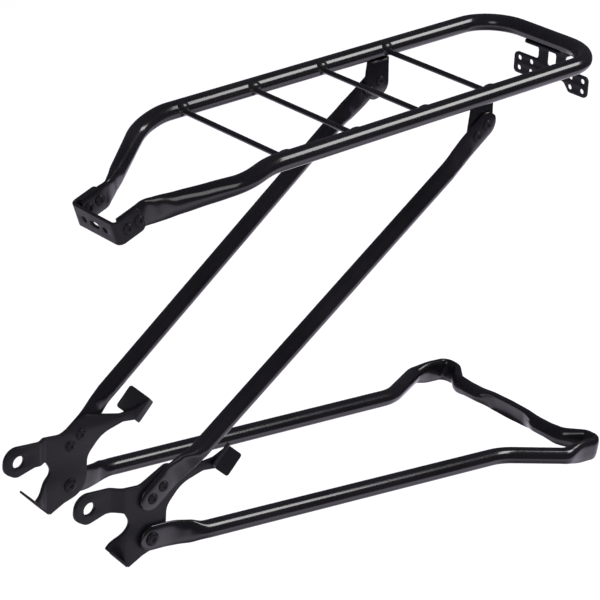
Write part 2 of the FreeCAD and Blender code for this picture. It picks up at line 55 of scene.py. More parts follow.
# ---------------------------------------------------------------- materials
def node_tree(name):
    material = bpy.data.materials.new(name)
    material.use_nodes = True
    tree = material.node_tree
    return material, tree, tree.nodes["Principled BSDF"]


def noise(tree, scale, detail, position):
    texture = tree.nodes.new("ShaderNodeTexNoise")
    texture.inputs["Scale"].default_value = scale
    texture.inputs["Detail"].default_value = detail
    tree.links.new(position, texture.inputs["Vector"])
    return texture.outputs["Fac"]


def ramp(tree, factor, stops):
    node = tree.nodes.new("ShaderNodeValToRGB")
    elements = node.color_ramp.elements
    elements[0].position, elements[0].color = stops[0][0], (*stops[0][1], 1)
    elements[1].position, elements[1].color = stops[1][0], (*stops[1][1], 1)
    tree.links.new(factor, node.inputs["Fac"])
    return node.outputs["Color"]


def spread(tree, factor, low, high):
    node = tree.nodes.new("ShaderNodeMapRange")
    node.inputs["To Min"].default_value = low
    node.inputs["To Max"].default_value = high
    tree.links.new(factor, node.inputs["Value"])
    return node.outputs["Result"]


DRIFT_SCALE, HAZE_SCALE, PEEL_SCALE = 14, 60, 320
PEEL_DEPTH, GRAIN_DEPTH = 0.0004, 0.0002
COAT_ROUGHNESS, ENAMEL_IOR = 0.11, 1.5


def bump(tree, strength, depth, height):
    node = tree.nodes.new("ShaderNodeBump")
    node.inputs["Strength"].default_value = strength
    node.inputs["Distance"].default_value = depth
    tree.links.new(height, node.inputs["Height"])
    return node


def enamel(name, dark, light, rough, coat, peel, grain, grain_scale, sheen=0.5):
    """Stoved enamel: slow colour drift, uneven gloss, orange peel and a fine grain."""
    material, tree, shader = node_tree(name)
    position = tree.nodes.new("ShaderNodeTexCoord").outputs["Object"]
    drift = noise(tree, DRIFT_SCALE, 3, position)
    tree.links.new(ramp(tree, drift, ((0.35, dark), (0.68, light))), shader.inputs["Base Color"])
    haze = noise(tree, HAZE_SCALE, 4, position)
    tree.links.new(spread(tree, haze, rough[0], rough[1]), shader.inputs["Roughness"])
    wave = bump(tree, peel, PEEL_DEPTH, noise(tree, PEEL_SCALE, 2, position))
    fine = bump(tree, grain, GRAIN_DEPTH, noise(tree, grain_scale, 3, position))
    tree.links.new(wave.outputs["Normal"], fine.inputs["Normal"])
    tree.links.new(fine.outputs["Normal"], shader.inputs["Normal"])
    shader.inputs["Coat Weight"].default_value = coat
    shader.inputs["Coat Roughness"].default_value = COAT_ROUGHNESS
    shader.inputs["Specular IOR Level"].default_value = sheen
    shader.inputs["Coat IOR"].default_value = ENAMEL_IOR
    shader.inputs["IOR"].default_value = ENAMEL_IOR
    return material


GLOSS = enamel("gloss_black_enamel", (0.004, 0.0035, 0.0045), (0.009, 0.008, 0.010),
               (0.16, 0.24), 0.6, 0.03, 0.01, 1500)
SATIN = enamel("satin_charcoal_enamel", (0.007, 0.0062, 0.0085), (0.012, 0.0105, 0.0145),
               (0.34, 0.46), 0.0, 0.15, 0.12, 1800, 0.32)
WELD = enamel("weld_under_enamel", (0.005, 0.0045, 0.0055), (0.011, 0.010, 0.012),
              (0.20, 0.34), 0.4, 0.35, 0.20, 900)


# ---------------------------------------------------------------- mesh helpers
def new_object(name, mesh, material, body, replaced=()):
    mesh.materials.clear()
    mesh.materials.append(material)
    piece = bpy.data.objects.new(name, mesh)
    bpy.context.scene.collection.objects.link(piece)
    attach(piece, body)
    if replaced:
        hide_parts(*replaced)


def smooth(mesh, angle):
    mesh.shade_smooth()
    mesh.set_sharp_from_angle(angle=math.radians(angle))


def mesh_from(name, corners, faces, angle):
    """Mesh from corners in millimetres."""
    mesh = bpy.data.meshes.new(name)
    mesh.from_pydata([tuple(c * MM for c in corner) for corner in corners], [], faces)
    tidy = bmesh.new()
    tidy.from_mesh(mesh)
    bmesh.ops.remove_doubles(tidy, verts=tidy.verts, dist=1e-7)
    bmesh.ops.recalc_face_normals(tidy, faces=tidy.faces)
    tidy.to_mesh(mesh)
    tidy.free()
    smooth(mesh, angle)
    return mesh


def joined(name, meshes):
    """One mesh out of several."""
    whole = bmesh.new()
    for mesh in meshes:
        whole.from_mesh(mesh)
    result = bpy.data.meshes.new(name)
    whole.to_mesh(result)
    whole.free()
    for mesh in meshes:
        bpy.data.meshes.remove(mesh)
    return result


def mirrored(name, mesh):
    """The other side's copy of a mesh."""
    copy = bmesh.new()
    copy.from_mesh(mesh)
    bmesh.ops.scale(copy, vec=(1, -1, 1), verts=copy.verts)
    bmesh.ops.reverse_faces(copy, faces=copy.faces)
    result = bpy.data.meshes.new(name)
    copy.to_mesh(result)
    copy.free()
    return result


def blend_between(keys, s):
    """Smooth step between rows of (place, value, value, ...)."""
    if s <= keys[0][0]:
        return keys[0][1:]
    for left, right in zip(keys, keys[1:]):
        if s <= right[0]:
            t = (s - left[0]) / (right[0] - left[0])
            t = t * t * (3 - 2 * t)
            return tuple(a + (b - a) * t for a, b in zip(left[1:], right[1:]))
    return keys[-1][1:]


# ---------------------------------------------------------------- bent tubes
ARC_STEP = 0.04
SEARCH_STEP, SEARCH_REACH = 0.5, 120


def arc_points(corner, before, after, radius, turn_to_count):
    """Tangent arc that rounds a corner, given the unit directions away from it."""
    half = before.angle(after) / 2
    reach = radius / math.tan(half)
    centre = corner + (before + after).normalized() * (radius / math.sin(half))
    first = corner + before * reach - centre
    last = corner + after * reach - centre
    turn = first.angle(last)
    count = turn_to_count(turn)
    points = []
    for k in range(count + 1):
        share = k / count
        points.append(centre + (first * math.sin((1 - share) * turn)
                                + last * math.sin(share * turn)) / math.sin(turn))
    return points


class Route:
    """Straight runs joined by tangent arcs through (x, y, z, radius), measured by length."""

    def __init__(self, points):
        corners = [Vector(p[:3]) for p in points]
        self.places = [corners[0]]
        for i in range(1, len(corners) - 1):
            corner = corners[i]
            before = (corners[i - 1] - corner).normalized()
            after = (corners[i + 1] - corner).normalized()
            self.places += arc_points(corner, before, after, points[i][3],
                                      lambda turn: max(3, int(turn / ARC_STEP)))
        self.places.append(corners[-1])
        self.marks = [0.0]
        for a, b in zip(self.places, self.places[1:]):
            self.marks.append(self.marks[-1] + (b - a).length)
        self.length = self.marks[-1]

    def at(self, s):
        s = min(max(s, 0.0), self.length)
        low, high = 0, len(self.marks) - 1
        while high - low > 1:
            middle = (low + high) // 2
            if self.marks[middle] <= s:
                low = middle
            else:
                high = middle
        span = self.marks[high] - self.marks[low]
        share = (s - self.marks[low]) / span if span > 0 else 0
        return self.places[low].lerp(self.places[high], share)

    def along(self, s):
        return (self.at(s + 1.5) - self.at(s - 1.5)).normalized()

    def nearest(self, target):
        """Length along the route to the sampled place closest to a point."""
        best = min(range(len(self.places)), key=lambda i: (self.places[i] - target).length)
        rough = self.marks[best]
        tries = [rough + d * SEARCH_STEP for d in range(-SEARCH_REACH, SEARCH_REACH + 1)]
        return min(tries, key=lambda s: (self.at(s) - target).length)


# A dent is pressed in from a little below the + side and stops short of the rim.
DENT_TILT = math.radians(14)
DENT_SIDE, DENT_LOW = math.cos(DENT_TILT), math.sin(DENT_TILT)
DENT_RIM, DENT_FADE = 0.85, 0.6


def ring(place, along, upright, shape, count):
    """Cross-section: half width and height, squareness, waist, and a dent below the rim on the + side."""
    width, height, square, waist, dent = shape
    side = along.cross(upright).normalized()
    up = side.cross(along)
    corners = []
    for k in range(count):
        angle = 2 * math.pi * k / count
        c, s = math.cos(angle), math.sin(angle)
        x = math.copysign(abs(c) ** (2 / square), c)
        z = math.copysign(abs(s) ** (2 / square), s)
        x *= width * (1 - waist * (1 - z * z) ** 2)
        press = dent * max(c * DENT_SIDE - s * DENT_LOW, 0)
        press *= min(max((DENT_RIM - s) / DENT_FADE, 0), 1)
        corners.append(place + side * (x - press * DENT_SIDE) + up * (z * height + press * DENT_LOW))
    return corners


def skin(name, rings, angle=50):
    """Closed skin over rings of equal count, with fanned ends."""
    count = len(rings[0])
    corners = [corner for loop in rings for corner in loop]
    faces = []
    for i in range(len(rings) - 1):
        a, b = i * count, (i + 1) * count
        for k in range(count):
            n = (k + 1) % count
            faces.append((a + k, a + n, b + n, b + k))
    for base in (0, (len(rings) - 1) * count):
        centre = sum((corners[base + k] for k in range(count)), Vector()) / count
        corners.append(centre)
        tip = len(corners) - 1
        faces += [(base + k, base + (k + 1) % count, tip) for k in range(count)]
    return mesh_from(name, corners, faces, angle)


def stations(length, step, fine_ends=0.0):
    """Places along a tube, closer together near rounded ends."""
    marks = [0.0]
    if fine_ends:
        marks = [fine_ends * (1 - math.cos(math.pi / 2 * k / 12)) for k in range(12)]
    tail = [length - m for m in reversed(marks)]
    inner = length - 2 * fine_ends
    count = max(2, int(inner / step))
    middle = [fine_ends + inner * k / count for k in range(count + 1)]
    return sorted(set(round(m, 4) for m in marks + middle + tail))


def tongue(s, radius):
    """Half height of a round tongue, a distance from its tip."""
    if s >= radius:
        return radius
    return max(math.sqrt(max(radius * radius - (radius - s) ** 2, 0)), 0.35)


def drilled(name, mesh, holes):
    """Mesh with cylindrical holes along Y cut by a boolean: holes are (x, y, z, radius, depth)."""
    base = bpy.data.objects.new(name + "_blank", mesh)
    bpy.context.scene.collection.objects.link(base)
    cutters = bmesh.new()
    for x, y, z, radius, depth in holes:
        turn = Matrix.Translation(Vector((x, y, z)) * MM) @ Matrix.Rotation(math.pi / 2, 4, "X")
        bmesh.ops.create_cone(cutters, cap_ends=True, segments=40, radius1=radius * MM,
                              radius2=radius * MM, depth=depth * MM, matrix=turn)
    cutter_mesh = bpy.data.meshes.new(name + "_cutters")
    cutters.to_mesh(cutter_mesh)
    cutters.free()
    cutter = bpy.data.objects.new(name + "_cutters", cutter_mesh)
    bpy.context.scene.collection.objects.link(cutter)
    modifier = base.modifiers.new("holes", "BOOLEAN")
    modifier.object = cutter
    modifier.operation = "DIFFERENCE"
    modifier.solver = "EXACT"
    result = bpy.data.meshes.new_from_object(base.evaluated_get(
        bpy.context.evaluated_depsgraph_get()))
    result.name = name
    for thing in (base, cutter):
        bpy.data.objects.remove(thing)
    smooth(result, 45)
    return result


# ---------------------------------------------------------------- pressed sheet
CLOSEST = 0.05


def corner_points(points, facets=7):
    """Outline of rounded corners (x, y, radius) as plain points."""
    outline = []
    count = len(points)
    for i, (x, y, radius) in enumerate(points):
        corner = Vector((x, y))
        if radius == 0:
            outline.append(corner)
            continue
        before = (Vector(points[i - 1][:2]) - corner).normalized()
        after = (Vector(points[(i + 1) % count][:2]) - corner).normalized()
        outline += arc_points(corner, before, after, radius, lambda turn: facets)
    return [p for p, q in zip(outline, outline[1:] + outline[:1]) if (p - q).length > CLOSEST]


def circle_points(x, y, radius, count=40):
    return [Vector((x + radius * math.cos(2 * math.pi * k / count),
                    y + radius * math.sin(2 * math.pi * k / count))) for k in range(count)]


def slot_points(x, y, radius, length, count=20):
    """Rounded slot along the first axis."""
    points = []
    reach = length / 2 - radius
    for side in (1, -1):
        for k in range(count + 1):
            angle = -math.pi / 2 + math.pi * k / count + (0 if side == 1 else math.pi)
            points.append(Vector((x + side * reach + radius * math.cos(angle),
                                  y + radius * math.sin(angle))))
    return points


def sheet(name, outlines, gauge, edge, place, cuts=(), axis=0):
    """Sheet metal with rounded edges. The flat pattern is cut into strips at the given places
    along one axis, then place(u, v, w) bends it, with w the height over the middle plane."""
    curve = bpy.data.curves.new(name + "_flat", "CURVE")
    curve.dimensions = "2D"
    curve.fill_mode = "BOTH"
    for outline in outlines:
        spline = curve.splines.new("POLY")
        spline.points.add(len(outline) - 1)
        for point, (x, y) in zip(spline.points, outline):
            point.co = (x * MM, y * MM, 0, 1)
        spline.use_cyclic_u = True
    curve.extrude = (gauge / 2 - edge) * MM
    curve.bevel_depth = edge * MM
    curve.bevel_resolution = 2
    curve.offset = -edge * MM
    holder = bpy.data.objects.new(name + "_flat", curve)
    bpy.context.scene.collection.objects.link(holder)
    flat = bpy.data.meshes.new_from_object(holder.evaluated_get(
        bpy.context.evaluated_depsgraph_get()))
    bpy.data.objects.remove(holder)
    work = bmesh.new()
    work.from_mesh(flat)
    bpy.data.meshes.remove(flat)
    bmesh.ops.remove_doubles(work, verts=work.verts, dist=2e-6)
    normal = Vector((1, 0, 0)) if axis == 0 else Vector((0, 1, 0))
    for cut in cuts:
        bmesh.ops.bisect_plane(work, geom=work.verts[:] + work.edges[:] + work.faces[:],
                               plane_co=normal * (cut * MM), plane_no=normal)
    for vertex in work.verts:
        u, v, w = (c / MM for c in vertex.co)
        vertex.co = Vector(place(u, v, w)) * MM
    bmesh.ops.recalc_face_normals(work, faces=work.faces)
    mesh = bpy.data.meshes.new(name)
    work.to_mesh(mesh)
    work.free()
    smooth(mesh, 38)
    return mesh


def steps(low, high, count):
    return [low + (high - low) * k / count for k in range(count + 1)]


def turned(name, profile, centre, out, count=36):
    """Closed surface of revolution about a line: profile is (radius, height) from pole to pole."""
    out = Vector(out).normalized()
    across = out.orthogonal().normalized()
    other = out.cross(across)
    corners = [centre + out * profile[0][1]]
    for radius, height in profile[1:-1]:
        for k in range(count):
            angle = 2 * math.pi * k / count
            corners.append(centre + out * height
                           + (across * math.cos(angle) + other * math.sin(angle)) * radius)
    corners.append(centre + out * profile[-1][1])
    faces = []
    rows = len(profile) - 2
    for k in range(count):
        n = (k + 1) % count
        faces.append((0, 1 + n, 1 + k))
        for row in range(rows - 1):
            a, b = 1 + row * count, 1 + (row + 1) * count
            faces.append((a + k, a + n, b + n, b + k))
        last = 1 + (rows - 1) * count
        faces.append((last + k, last + n, len(corners) - 1))
    return mesh_from(name, corners, faces, 40)


def rivet(name, point, side, inner, outer, shank, head):
    """Tubular rivet along Y with a rolled, hollow head at each end."""
    middle = (inner + outer) / 2
    half = (outer - inner) / 2
    hollow = min(1.9, shank * 0.55)
    cap = [(0, 0.5), (hollow - 0.2, 0.5), (hollow, 0.9), (hollow + 0.3, 1.5), (hollow + 0.9, 1.9),
           (hollow + 1.6, 1.95), (head - 1.0, 1.5), (head - 0.3, 0.8), (head, 0.25), (head - 0.05, 0),
           (shank, 0)]
    profile = [(r, half + h) for r, h in cap] + [(r, -half - h) for r, h in reversed(cap)]
    centre = Vector((point[0], side * middle, point[1]))
    return turned(name, profile, centre, (0, 1, 0))


BEAD_FACETS = 28
BEAD_SMOOTH = 60


def bead(name, centre, out, inner, outer, height, seed):
    """Small uneven weld fillet round a line, from a wide foot to a narrow rim."""
    random.seed(seed)
    out = Vector(out).normalized()
    across = out.orthogonal().normalized()
    other = out.cross(across)
    count = BEAD_FACETS
    wobble = [random.uniform(0.82, 1.15) for _ in range(count)]
    wobble = [(wobble[k - 1] + 2 * wobble[k] + wobble[(k + 1) % count]) / 4 for k in range(count)]
    loops = []
    for share in (0, 0.25, 0.5, 0.75, 1.0):
        radius = inner + (outer - inner) * (1 - share) ** 1.6
        loops.append([centre + out * (height * share)
                      + (across * math.cos(2 * math.pi * k / count)
                         + other * math.sin(2 * math.pi * k / count))
                      * (inner + (radius - inner) * wobble[k]) for k in range(count)])
    return skin(name, loops, BEAD_SMOOTH)


def lump(name, centre, out, half_long, half_wide, height, seed):
    """Domed weld lump, longer along X, standing out of the surface it sits on."""
    random.seed(seed)
    across = Vector(out).cross(Vector((1, 0, 0))).normalized()
    count = BEAD_FACETS
    lean = random.uniform(0, 2 * math.pi)
    loops = []
    for share in (0, 0.3, 0.55, 0.75, 0.9, 0.98):
        shrink = math.sqrt(1 - share * share)
        loops.append([centre + out * (height * share)
                      + (Vector((half_long, 0, 0)) * math.cos(2 * math.pi * k / count)
                         + across * half_wide * math.sin(2 * math.pi * k / count))
                      * shrink * (1 + 0.07 * math.cos(4 * math.pi * k / count + lean))
                      for k in range(count)])
    return skin(name, loops, BEAD_SMOOTH)


def run_bead(name, route, width, height, upright, seed):
    """Rippled weld run along a short line."""
    random.seed(seed)
    rings = []
    for s in stations(route.length, 0.8, 1.5):
        end = min(s, route.length - s)
        swell = min(1.0, math.sqrt(max(end, 0.05) / 2.0))
        ripple = 1 + 0.10 * math.sin(s * 2.4) + random.uniform(-0.05, 0.05)
        rings.append(ring(route.at(s), route.along(s), upright,
                          (width * swell * ripple, height * swell * ripple, 2, 0, 0), 14))
    return skin(name, rings, 70)


# ---------------------------------------------------------------- platform hoop
SLOPE = math.radians(19.2)
FLAT_Y = 24.0
PITCH_X, INWARD_X, KNEE_X, TIP_X = 170.0, 147.0, 77.0, 52.5
REAR_X = 580.0


def front_run(x, side):
    """Point on the sloping front run: it narrows from the inward bend to the knee."""
    share = max((x - KNEE_X) / (INWARD_X - KNEE_X), 0)
    drop = (PITCH_X - x) * math.tan(SLOPE)
    return Vector((x, side * (FLAT_Y + share * (RAIL_Y - FLAT_Y)), RAIL_Z - drop))


def hoop_route():
    points = []
    for side in (1, -1):
        half = [(*front_run(TIP_X, side), 0), (*front_run(KNEE_X, side), 14),
                (*front_run(INWARD_X, side), 44), (PITCH_X, side * RAIL_Y, RAIL_Z, 60),
                (REAR_X, side * RAIL_Y, RAIL_Z, 40)]
        points += half if side == 1 else half[::-1]
    return Route(points)


hoop = hoop_route()
# Rows of: length from the tube's end, then the five values that ring() takes.
HOOP_KEYS = [(0, 2.0, 11.6, 5.0, 0.0, 0.0), (26, 2.0, 11.6, 4.5, 0.0, 0.0),
             (38, 3.8, 11.2, 3.0, 0.05, 0.0), (54, 6.4, 10.2, 2.2, 0.02, 0.0),
             (82, 7.2, 9.2, 2.0, 0.0, 0.0), (112, 8.0, 8.0, 2.0, 0.0, 0.0)]
hoop_rings = []
for s in stations(hoop.length, 2.0):
    end = min(s, hoop.length - s)
    hoop_rings.append(ring(hoop.at(s), hoop.along(s), UPRIGHT,
                           blend_between(HOOP_KEYS, end), TUBE_FACETS))
new_object("platform_hoop_tube", skin("platform_hoop_tube", hoop_rings), GLOSS, "carrier",
           ("platform_hoop",))

# ---------------------------------------------------------------- cross wires and their welds
FIRST_WIRE_X, WIRE_PITCH, WIRE_R = 191.0, 81.0, 2.5
BEAD_SINK, LUMP_SINK = 0.4, 3.2
LUMP_TILT = math.radians(28)
for i in range(4):
    x = FIRST_WIRE_X + WIRE_PITCH * i
    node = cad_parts["cross_wire_%d" % (i + 1)]
    for slot in node.material_slots:
        slot.material = GLOSS
    beads = []
    for side in (-1, 1):
        foot = Vector((x, side * (RAIL_Y - TUBE_R + BEAD_SINK), RAIL_Z))
        beads.append(bead("bead", foot, (0, -side, 0), WIRE_R, 4.6, 3.4, 11 * i + side + 5))
        lump_out = Vector((0, -side * math.cos(LUMP_TILT), math.sin(LUMP_TILT)))
        foot = Vector((x, side * RAIL_Y, RAIL_Z)) + lump_out * (TUBE_R - LUMP_SINK)
        beads.append(lump("lump", foot, lump_out, 9.0, 5.2, 4.9, 11 * i + side + 60))
    new_object("wire_welds_%d" % (i + 1), joined("wire_welds_%d" % (i + 1), beads), WELD, "carrier")

# ---------------------------------------------------------------- front bracket
BRACKET_HALF, BRACKET_GAUGE, BRACKET_LEG, BRACKET_BEND = 29.0, 3.0, 28.8, 6.0
bracket_turn = Matrix.Rotation(-SLOPE, 3, "Y")
bracket_base = Vector((45.5, 0, 226.9))
bend_mid = BRACKET_BEND - BRACKET_GAUGE / 2
face_half = BRACKET_HALF - BRACKET_BEND
bend_run = bend_mid * math.pi / 2
leg_run = BRACKET_LEG - BRACKET_BEND


def on_bracket(p, h, w):
    """Flat strip to U: p along the strip from its middle, h up, w outwards."""
    side = 1 if p >= 0 else -1
    q = abs(p)
    if q <= face_half:
        spot = Vector((BRACKET_GAUGE / 2 - w, side * q, h))
    elif q <= face_half + bend_run:
        angle = (q - face_half) / bend_mid
        reach = bend_mid + w
        spot = Vector((BRACKET_BEND - reach * math.cos(angle),
                       side * (face_half + reach * math.sin(angle)), h))
    else:
        spot = Vector((BRACKET_BEND + q - face_half - bend_run,
                       side * (BRACKET_HALF - BRACKET_GAUGE / 2 + w), h))
    return bracket_base + bracket_turn @ spot


strip_half = face_half + bend_run + leg_run
STRIP_HIGH, STRIP_CORNER = 11, 5
BRACKET_HOLE_R, BRACKET_HOLE_Y, SLOT_LENGTH = 2.75, 13.5, 11
bracket_outline = corner_points([(-strip_half, -STRIP_HIGH, STRIP_CORNER),
                                 (strip_half, -STRIP_HIGH, STRIP_CORNER),
                                 (strip_half, STRIP_HIGH, STRIP_CORNER),
                                 (-strip_half, STRIP_HIGH, STRIP_CORNER)])
bracket_cuts = [side * c for side in (-1, 1) for c in steps(face_half, face_half + bend_run, 8)]
bracket_mesh = sheet("front_bracket_strip",
                     [bracket_outline, circle_points(-BRACKET_HOLE_Y, 0, BRACKET_HOLE_R),
                      circle_points(BRACKET_HOLE_Y, 0, BRACKET_HOLE_R),
                      slot_points(0, 0, BRACKET_HOLE_R, SLOT_LENGTH)],
                     BRACKET_GAUGE, 0.6, on_bracket, bracket_cuts)
new_object("front_bracket_strip", bracket_mesh, SATIN, "carrier",
           ("front_bracket",))

DOWN = Vector((-math.cos(SLOPE), 0, -math.sin(SLOPE)))
for side_name, side in SIDES.items():
    rivets = []
    for along_leg in (12.0, 24.0):
        spot = bracket_base - DOWN * along_leg
        rivets.append(rivet("rivet", (spot.x, spot.z), side, FLAT_Y - 2, BRACKET_HALF,
                            RIVET_SHANK, RIVET_HEAD))
    label = "bracket_rivets_" + side_name
    new_object(label + "_heads", joined(label + "_heads", rivets), SATIN, "carrier",
               (label,))

# ---------------------------------------------------------------- axle plates
EAR_INSET = 5.7
STEP_START, STEP_END = 21.0, 34.0
AXLE_HOLE_R = 6
PLATE_GAUGE = 4.0
FLANGE_GAUGE = 3.0
PLATE_OUTLINE = [(-14, 13, 12.5), (-2, 14.8, 11), (22, 11, 20), (50, 6, 12), (77, 17, 8), (116, 4, 14),
                 (131, 3.5, 5), (148.5, 9, 0.5), (132, -7, 0.5), (118, -4, 12), (94, -8, 28),
                 (78, -24, 14), (77, -58, 20), (52, -63, 14), (37, -69, 1), (18, -47, 1.5), (40, -27, 8),
                 (33, -14, 8), (17, -11, 12), (-3, -14.8, 10.5), (-15.5, -6, 10.5)]


def on_plate(x, z, w):
    """Flat plate to its place, with the ear stepped towards the wheel."""
    share = min(max((x - STEP_START) / (STEP_END - STEP_START), 0), 1)
    share = share * share * (3 - 2 * share)
    return x, PLATE_MID - EAR_INSET * (1 - share) + w, z


def leaf(name, foot_a, foot_b, reach, gauge, corner):
    """Flange standing on the line between two places in the plate, with a sheared flat outline."""
    start = Vector((foot_a[0], PLATE_MID, foot_a[1]))
    line = Vector((foot_b[0], PLATE_MID, foot_b[1])) - start
    width = line.length
    line.normalize()
    reach = Vector(reach)
    lean = reach.dot(line)
    rise = reach - line * lean
    height = rise.length
    rise.normalize()
    normal = line.cross(rise)

    def place(p, q, w):
        return start + line * p + rise * q + normal * w

    outline = corner_points([(0, 0, 0), (width, 0, 0), (width + lean, height, corner),
                             (lean, height, corner)])
    return sheet(name, [outline], gauge, 0.5, place)


plate_mesh = sheet("plate", [corner_points(PLATE_OUTLINE, 9), circle_points(0, 0, AXLE_HOLE_R)],
                   PLATE_GAUGE, 0.7, on_plate, steps(STEP_START, STEP_END, 13))
ARM_END_LOW, ARM_END_HIGH = (132, -7), (148.5, 9)
stop_upper = leaf("stop_upper", ARM_END_LOW, ARM_END_HIGH, (-11, 12, 12), FLANGE_GAUGE, 2.5)
stop_lower = leaf("stop_lower", ARM_END_LOW, ARM_END_HIGH, (9.3, 6.3, -9.5), FLANGE_GAUGE, 2.5)
low_stop = leaf("low_stop", (18, -47), (37, -69), (-6.8, 9.2, 7.8), 2.0, 1.0)
plate_whole = joined("axle_plate_right_sheet", [plate_mesh, stop_upper, stop_lower, low_stop])
new_object("axle_plate_left_sheet", mirrored("axle_plate_left_sheet", plate_whole), SATIN, "carrier",
           ("axle_plate_left",))
new_object("axle_plate_right_sheet", plate_whole, SATIN, "carrier",
           ("axle_plate_right",))

# ---------------------------------------------------------------- struts
STRUT_FOOT = Vector((65.0, 0, -3.8))
STRUT_HEAD = Vector((422.5, 0, 237.8))
RISE = (STRUT_HEAD - STRUT_FOOT).normalized()
STRUT_SQUARE = RISE.cross(Vector((0, 1, 0))).normalized()
TAB_IN, TAB_OUT = 64.0, 68.0
RIVET_REACH = 7.0
END_REACH = RIVET_REACH + END_ROUND
FLAT_LENGTH, ROUND_FROM = 34, 72
FOOT_FLAT_Y = PLATE_OUT + 2.0
HEAD_FLAT_Y = TAB_OUT + 2.0
STRUT_KEYS = [(0, 2.0, 12.0, 3.0, 0.0, 0.0), (36, 2.0, 12.0, 2.8, 0.06, 0.0),
              (52, 3.6, 11.2, 2.4, 0.12, 0.0), (66, 7.4, 8.4, 2.0, 0.03, 0.0),
              (ROUND_FROM, TUBE_R, TUBE_R, 2.0, 0.0, 0.0)]


def strut_mesh(name, side):
    """Strut from foot to head: flat on the plate, round between, flat on the tab."""
    span = (STRUT_HEAD - STRUT_FOOT).length
    total = span + 2 * END_REACH
    level = [(0, FOOT_FLAT_Y), (FLAT_LENGTH, FOOT_FLAT_Y), (ROUND_FROM, PLATE_OUT + TUBE_R + 0.1),
             (total - ROUND_FROM, HEAD_FLAT_Y + 2.0), (total - FLAT_LENGTH, HEAD_FLAT_Y),
             (total, HEAD_FLAT_Y)]
    rings = []
    for s in stations(total, 2.0, END_ROUND):
        end = min(s, total - s)
        if ROUND_FROM < s < total - ROUND_FROM:
            share = (s - ROUND_FROM) / (total - 2 * ROUND_FROM)
            y = level[2][1] + (level[3][1] - level[2][1]) * share
        else:
            y = blend_between(level, s)[0]
        place = STRUT_FOOT + RISE * (s - END_REACH) + Vector((0, side * y, 0))
        width, height, square, waist, dent = blend_between(STRUT_KEYS, end)
        if end < END_ROUND:
            height = tongue(end, END_ROUND)
        rings.append(ring(place, RISE, STRUT_SQUARE, (width, height, square, waist, dent), 40))
    return skin(name, rings)


for side_name, side in SIDES.items():
    label = "strut_" + side_name
    new_object(label + "_tube", strut_mesh(label + "_tube", side), GLOSS, "carrier",
               (label,))
    for place, centre, inner, outer in (("foot", STRUT_FOOT, PLATE_MID - 2, PLATE_OUT + 4),
                                        ("head", STRUT_HEAD, TAB_IN, TAB_OUT + 4)):
        rivets = []
        for step in (-RIVET_REACH, RIVET_REACH):
            spot = centre + RISE * step
            rivets.append(rivet("rivet", (spot.x, spot.z), side, inner, outer,
                                RIVET_SHANK, RIVET_HEAD))
        rivet_label = "strut_%s_rivets_%s" % (place, side_name)
        new_object(rivet_label + "_heads", joined(rivet_label + "_heads", rivets), SATIN, "carrier",
                   (rivet_label,))

# ---------------------------------------------------------------- tabs under the rails
TAB_TOP, TAB_WELD_Z = 262.9, 262.2
TAB_GAUGE = TAB_OUT - TAB_IN
TAB_OUTLINE = [(413.5, TAB_TOP, 0), (438.5, TAB_TOP, 0), (440, 231, 12), (419, 220.5, 12),
               (410, 235, 12)]

for side_name, side in SIDES.items():
    def on_tab(x, z, w, side=side):
        return x, side * (TAB_IN + TAB_GAUGE / 2 + w), z

    tab = sheet("tab", [corner_points(TAB_OUTLINE, 9)], TAB_GAUGE, 0.6, on_tab)
    label = "strut_tab_" + side_name
    new_object(label + "_sheet", tab, GLOSS, "carrier", (label,))
    runs = []
    for k, y in enumerate((TAB_IN - 0.4, TAB_OUT + 0.4)):
        line = Route([(415.5, side * y, TAB_WELD_Z, 0), (436.5, side * y, TAB_WELD_Z, 0)])
        runs.append(run_bead("run", line, 1.2, 1.0, UPRIGHT, 40 + k))
    new_object("tab_welds_" + side_name, joined("tab_welds_" + side_name, runs), WELD, "carrier")

# ---------------------------------------------------------------- stand
LEAN = math.radians(8.8)
REAR = Vector((math.cos(LEAN), 0, -math.sin(LEAN)))
STAND_UP = Vector((math.sin(LEAN), 0, math.cos(LEAN)))
PIVOT = Vector((58.9, 0, -47.0))
WASHER_GAP, EYE_HALF = 0.3, 2.0
EYE_Y = PLATE_OUT + WASHER_GAP + EYE_HALF
PIVOT_HOLE_R = 4.05
FOOT_Y, FOLD_Y = 105.5, 88.5
TIP_U, BAR_U = 536, 519.0
FOLD_R = 8.3


def on_stand(u, y):
    """Place a distance u from the pivots along the legs' plane."""
    return PIVOT + REAR * u + Vector((0, y, 0))


def stand_route():
    points = []
    for side in (1, -1):
        half = [(*on_stand(-12, side * EYE_Y), 0), (*on_stand(24, side * EYE_Y), 60),
                (*on_stand(50, side * 67.3), 60), (*on_stand(426, side * 75), 60),
                (*on_stand(488, side * FOOT_Y), 14), (*on_stand(TIP_U, side * FOOT_Y), FOLD_R),
                (*on_stand(TIP_U, side * FOLD_Y), FOLD_R), (*on_stand(BAR_U, side * 70), 14)]
        points += half if side == 1 else half[::-1]
    return Route(points)


